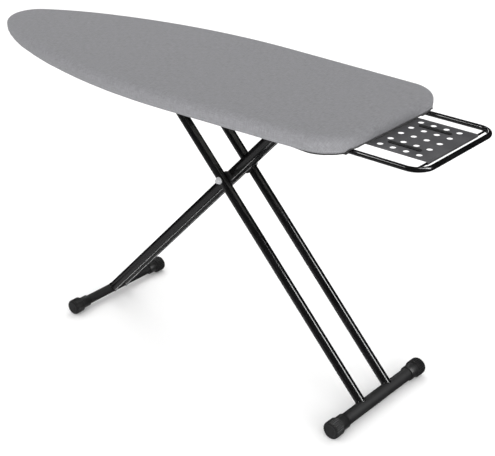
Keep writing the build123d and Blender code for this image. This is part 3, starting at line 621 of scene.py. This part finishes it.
def make_stitches():
    """Lockstitches that hold the hem's casing, about 6 mm above the hem."""
    tree, given = new_tree("hem_stitches", ("Pitch", "Length", "Thickness"))
    line = node(tree, "GeometryNodeMeshToCurve", {"Mesh": given["Geometry"]}).outputs[0]
    spots = node(tree, "GeometryNodeCurveToPoints", {"Curve": line, "Length": given["Pitch"]}, mode="LENGTH")
    bead = node(tree, "GeometryNodeMeshUVSphere", {"Segments": 6, "Rings": 4, "Radius": 0.5}).outputs[0]
    size = node(tree, "ShaderNodeCombineXYZ",
                {0: given["Thickness"], 1: given["Thickness"], 2: given["Length"]})
    laid = node(tree, "GeometryNodeInstanceOnPoints",
                {"Points": spots.outputs["Points"], "Instance": bead,
                 "Rotation": spots.outputs["Rotation"], "Scale": size.outputs[0]}).outputs[0]
    close_tree(tree, laid, given["Finish"])
    line = []
    for point, out, run in plan_edge(900):
        profile = skirt_profile(hem_rise(point))
        inset, height, down = profile[-3]
        place = point - out * (inset - gathered(point, run, down) - 0.1 * MM)
        line.append((place.x, place.y, height))
    return grown("hem_stitches", path(line), tree, {
        "Pitch": STITCH_PITCH, "Length": STITCH_LENGTH, "Thickness": THREAD, "Finish": sewing_thread()})


def sewing_thread():
    """Grey polyester thread: two plies twisted, faintly shiny."""
    made, tree, shader = finish_named("grey_polyester_thread", Roughness=0.6, Sheen_Weight=0.2, IOR=1.5)
    place = node(tree, "ShaderNodeTexCoord").outputs["Object"]
    plies = node(tree, "ShaderNodeTexNoise", {"Vector": place, "Scale": 1 / 0.0008, "Detail": 2.0}).outputs[0]
    colour = node(tree, "ShaderNodeMix", {0: plies, 6: linear("#828286"), 7: linear("#a2a2a6")},
                  data_type="RGBA").outputs[2]
    tree.links.new(colour, shader.inputs["Base Color"])
    return made


def make_steam_mesh():
    """The deck's honeycomb: hexagonal openings in thin steel sheet, out to a plain border."""
    tree, given = new_tree("honeycomb", ("Opening", "Web", "Sheet"))
    cell = node(tree, "GeometryNodeCurvePrimitiveCircle",
                {"Resolution": 6, "Radius": given["Opening"]}).outputs[0]
    strip = node(tree, "GeometryNodeCurvePrimitiveQuadrilateral",
                 {"Width": given["Web"], "Height": given["Sheet"]}).outputs[0]
    walls = node(tree, "GeometryNodeCurveToMesh", {"Curve": cell, "Profile Curve": strip}).outputs[0]
    laid = node(tree, "GeometryNodeInstanceOnPoints",
                {"Points": given["Geometry"], "Instance": walls,
                 "Rotation": Euler((0, 0, math.radians(30)))}).outputs[0]
    close_tree(tree, laid, given["Finish"])
    low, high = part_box("perforated_deck")
    middle = (low.z + high.z) / 2
    spots = []
    edge = plan_edge(400)
    ring = KDTree(len(edge))
    for k, (point, _, _) in enumerate(edge):
        ring.insert((point.x, point.y, 0), k)
    ring.balance()
    columns = int(HALF_WIDTH / CELL_PITCH) + 1
    step = CELL_PITCH * math.sqrt(3) / 2
    for row in range(int((END_X - NOSE_X) / step)):
        for column in range(-columns, columns + 1):
            x, y = NOSE_X + row * step, (column + (row % 2) / 2) * CELL_PITCH
            _, k, away = ring.find((x, y, 0))
            if (Vector((x, y)) - edge[k][0]).dot(edge[k][1]) < 0 and away > CELLS_IN:
                spots.append((x, y, middle))
    base = bpy.data.objects.new("spots", bpy.data.meshes.new("spots"))
    base.data.from_pydata(spots, [], [])
    scene.collection.objects.link(base)
    # a cell is a little under one pitch across its flats, so that neighbours' walls merge
    return grown("steam_mesh", base, tree, {
        "Opening": CELL_PITCH / math.sqrt(3) - 0.4 * MM, "Web": CELL_WEB,
        "Sheet": high.z - low.z - 0.1 * MM, "Finish": finishes["deck_steel"]})


def make_deck_border():
    """The deck's plain margin, which the honeycomb runs into and the rim is welded to."""
    low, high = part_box("perforated_deck")
    edge = plan_edge(500)
    points, faces, rings = [], [], []
    for inset, level in ((BORDER_IN, high.z), (BORDER_IN, low.z), (BORDER_TO, low.z), (BORDER_TO, high.z)):
        ring = []
        for point, out, _ in edge:
            place = point - out * inset
            ring.append(len(points))
            points.append(Vector((place.x, place.y, level)))
        rings.append(ring)
    for k in range(4):
        band(faces, rings[k], rings[(k + 1) % 4])
    return piece("deck_border", points, faces, finishes["deck_steel"], smooth=False)


# ---- joints and fastenings -----------------------------------------------------------------------
def middle_of(name):
    """The middle of a node's box."""
    low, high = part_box(name)
    return (low + high) / 2


def weld_round(name, start, way, tube_radius, bar_middle, bar_radius, finish):
    """A ripple-faced weld bead where a tube's end meets a bar that lies across, along Y."""
    way = way.normalized()
    side = Vector((0, 1, 0))
    third = way.cross(side)
    points, faces, rings = [], [], []
    turns = 72
    for k in range(turns):
        around = math.tau * k / turns
        out = side * math.cos(around) + third * math.sin(around)
        foot = start + out * tube_radius
        # slide along the tube until the point lies on the bar
        offset = foot - bar_middle
        offset.y = 0
        flat = Vector((way.x, 0, way.z))
        b = offset.dot(flat)
        c = offset.length_squared - bar_radius ** 2
        root = math.sqrt(max(b * b - c, 0.0))
        spot = foot + way * (-b - root)
        lean = spot - bar_middle
        lean.y = 0
        lean = (lean.normalized() + out).normalized()
        tangent = (side * -math.sin(around) + third * math.cos(around)).normalized()
        cross = tangent.cross(lean).normalized()
        # the bead rises and falls about every 3 mm as the weld pool freezes
        fat = BEAD + BEAD_RIPPLE * abs(math.sin(around * 13))
        ring = []
        for step in range(8):
            turn = math.tau * step / 8
            ring.append(len(points))
            points.append(spot + lean * math.cos(turn) * fat * 0.8 + cross * math.sin(turn) * fat)
        rings.append(ring)
    for k, ring in enumerate(rings):
        after = rings[(k + 1) % turns]
        for step in range(8):
            nxt = (step + 1) % 8
            faces.append((ring[step], after[step], after[nxt], ring[nxt]))
    return piece(name, points, faces, finish)


def turned(name, axis, rows, count, finish, crease):
    """A closed piece round an axis along Y, from rows of (y, radius as a function of the angle)."""
    points, faces = [], []
    for y, reach in rows:
        for k in range(count):
            way = math.tau * k / count
            points.append((axis.x + reach(way) * math.cos(way), y, axis.z + reach(way) * math.sin(way)))
    rings = [list(range(k * count, (k + 1) * count)) for k in range(len(rows))]
    for above, below in zip(rings, rings[1:]):
        band(faces, above, below)
    faces += [tuple(reversed(rings[0])), tuple(rings[-1])]
    made = piece(name, points, faces, finish)
    shape = bmesh.new()
    shape.from_mesh(made.data)
    bmesh.ops.recalc_face_normals(shape, faces=shape.faces)
    shape.to_mesh(made.data)
    shape.free()
    made.data.set_sharp_from_angle(angle=math.radians(crease))
    return made


def domed_nut(name, node_name, side):
    """A bright plated hexagonal cap nut: six chamfered flats and a ball end."""
    low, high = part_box(node_name)
    base, tall = (low.y, high.y - low.y) if side > 0 else (high.y, low.y - high.y)
    radius = (high.x - low.x) / 2

    def flats(wide):
        def reach(way):
            near = way % (math.tau / 6) - math.tau / 12
            return radius * wide * min(1.0, math.cos(math.tau / 12) / math.cos(near))
        return reach

    def plain(wide):
        return lambda way: radius * wide

    rows = [(base + tall * share, flats(wide))
            for share, wide in ((0.0, 0.93), (0.06, 1.0), (0.44, 1.0), (0.50, 0.93))]
    rows.append((base + tall * 0.52, plain(0.76)))
    rows += [(base + tall * (0.52 + 0.48 * math.sin(t)), plain(0.74 * math.cos(t)))
             for t in (0.3, 0.6, 0.9, 1.2, 1.42)]
    return turned(name, middle_of(node_name), rows, 36, finishes["bright_steel"], 25)


def ribbed_cap(name, node_name, bar_name, side):
    """A moulded foot cap: a plain collar on the bar, a step, and a ribbed head with a rounded end."""
    low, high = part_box(node_name)
    bar_low, bar_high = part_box(bar_name)
    end = high.y if side > 0 else low.y
    bore, head = (bar_high.z - bar_low.z) / 2 + 0.05 * MM, (high.z - low.z) / 2
    collar, step = bore + 2.9 * MM, head - 3.5 * MM

    def round_at(radius, share):
        """Radius with this share of the grooves' depth taken out between the ribs."""
        return lambda way: radius - RIB_GROOVE * share * (0.5 + 0.5 * math.cos(way * CAP_RIBS)) ** 3

    # how far in from the end, radius, share of the grooves' depth
    profile = [
        (4.2, bore, 0), (55.8, bore, 0), (56.0, bore + 2.3 * MM, 0), (55.2, collar, 0), (33.0, collar, 0),
        (32.2, step, 0), (28.8, step, 0), (28.0, head - 0.9 * MM, 0), (27.2, head, 0.2), (26.0, head, 1),
        (5.5, head, 1), (3.6, head - 0.5 * MM, 1), (2.2, head - 1.4 * MM, 0.9), (1.1, head - 2.7 * MM, 0.7),
        (0.4, head - 4.2 * MM, 0.4), (0.05, head - 6.0 * MM, 0), (0.1, head - 8.0 * MM, 0),
        (0.8, head - 8.8 * MM, 0), (0.8, 4.0 * MM, 0),
    ]
    rows = [(end - side * back * MM, round_at(radius, share)) for back, radius, share in profile]
    return turned(name, middle_of(bar_name), rows, CAP_RIBS * 10, finishes["black_plastic"], 40)


# ---- the padded top -----------------------------------------------------------------------------
cover = make_cover()
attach(cover, "board")
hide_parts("cover")

pad = make_pad()
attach(pad, "board")
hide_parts("felt_pad")

binding = make_binding()
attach(binding, "board")

stitches = make_stitches()
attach(stitches, "board")

steam_mesh = make_steam_mesh()
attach(steam_mesh, "board")
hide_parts("perforated_deck")

border = make_deck_border()
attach(border, "board")

# ---- the legs' welds, nuts and foot caps -----------------------------------------------------------
PIVOT = middle_of("pivot_bolt")
for leg in ("inner", "outer"):
    bar = middle_of(f"{leg}_foot_bar")
    low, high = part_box(f"{leg}_foot_bar")
    for hand in ("near", "far"):
        tube_low, tube_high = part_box(f"{leg}_tube_{hand}")
        start = Vector((bar.x, (tube_low.y + tube_high.y) / 2, bar.z))
        way = Vector((bar.x - PIVOT.x, 0, bar.z - PIVOT.z))
        bead = weld_round(f"{leg}_foot_weld_{hand}", start, way, (tube_high.y - tube_low.y) / 2, bar,
                          (high.z - low.z) / 2, finishes["black_enamel"])
        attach(bead, f"{leg}_leg")
for hand, side in (("near", -1), ("far", 1)):
    nut = domed_nut(f"cap_nut_{hand}", f"pivot_nut_{hand}", side)
    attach(nut, "inner_leg")
    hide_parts(f"pivot_nut_{hand}")
    for leg in ("inner", "outer"):
        cap = ribbed_cap(f"{leg}_ribbed_cap_{hand}", f"{leg}_foot_cap_{hand}", f"{leg}_foot_bar", side)
        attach(cap, f"{leg}_leg")
        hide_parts(f"{leg}_foot_cap_{hand}")


# ---- floor ----------------------------------------------------------------------------------------
def studio_paper():
    """Matt white paper sweep."""
    made, tree, shader = finish_named("white_studio_paper", Roughness=0.95, Specular_IOR_Level=0.0)
    place = node(tree, "ShaderNodeTexCoord").outputs["Object"]
    grain = node(tree, "ShaderNodeTexNoise", {"Vector": place, "Scale": 3.0, "Detail": 2.0}).outputs[0]
    tone = node(tree, "ShaderNodeMix", {0: grain, 6: linear("#fafafa"), 7: linear("#fcfcfc")},
                data_type="RGBA").outputs[2]
    tree.links.new(tone, shader.inputs["Base Color"])
    return made


FLOOR = 30
floor = piece("floor", [(-FLOOR, -FLOOR, 0), (FLOOR, -FLOOR, 0), (FLOOR, FLOOR, 0), (-FLOOR, FLOOR, 0)],
              [(0, 1, 2, 3)], studio_paper(), smooth=False)
floor.visible_glossy = False
